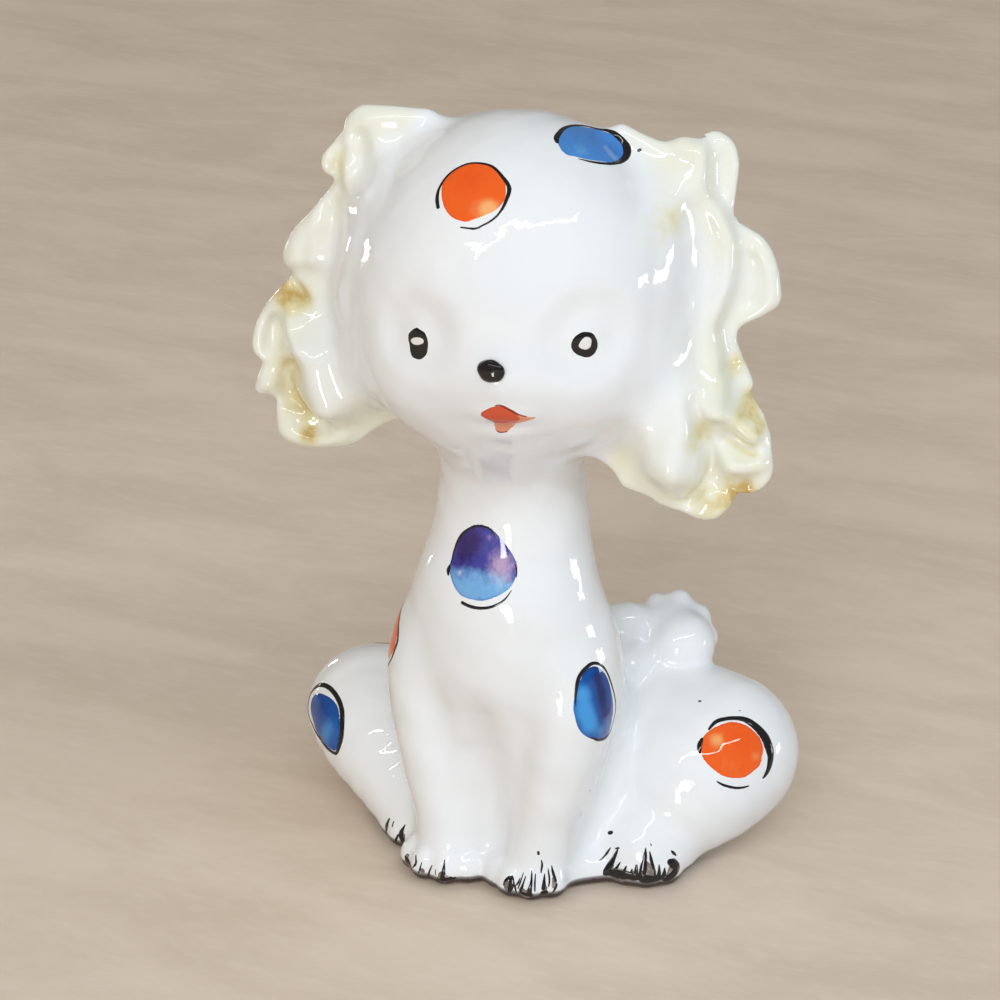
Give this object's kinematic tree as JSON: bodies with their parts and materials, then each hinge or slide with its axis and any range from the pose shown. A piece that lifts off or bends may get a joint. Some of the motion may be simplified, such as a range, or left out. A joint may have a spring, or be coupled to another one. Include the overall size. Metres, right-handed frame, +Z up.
{
  "type": "porcelain dog figurine",
  "caption": "Sitting poodle figurine in glazed porcelain with ruffled ears, a pompom tail and painted dots; it stands on its own flat base.",
  "frame": {"origin": "on the flat underside of the base, straight below the neck", "axes": "+Z up, the dog faces -Y, its left side is +X"},
  "size_m": [0.0636, 0.0482, 0.0958],
  "materials": {
    "white_glaze": "clear glossy glaze over white porcelain, with painted enamel dots",
    "cream_glaze": "clear glossy glaze over a pale yellow-green tint",
    "black_enamel": "glossy black enamel fired over the glaze"
  },
  "bodies": {
    "root": {"body_casting": "white_glaze", "head_casting": "white_glaze", "nose_button": "black_enamel", "right_foreleg": "white_glaze", "left_foreleg": "white_glaze", "right_hind_leg": "white_glaze", "left_hind_leg": "white_glaze", "right_ear_flap": "white_glaze", "left_ear_flap": "white_glaze", "right_ear_frill": "cream_glaze", "left_ear_frill": "cream_glaze", "tail_stem": "white_glaze", "tail_pompom": "white_glaze"}
  },
  "joints": []
}
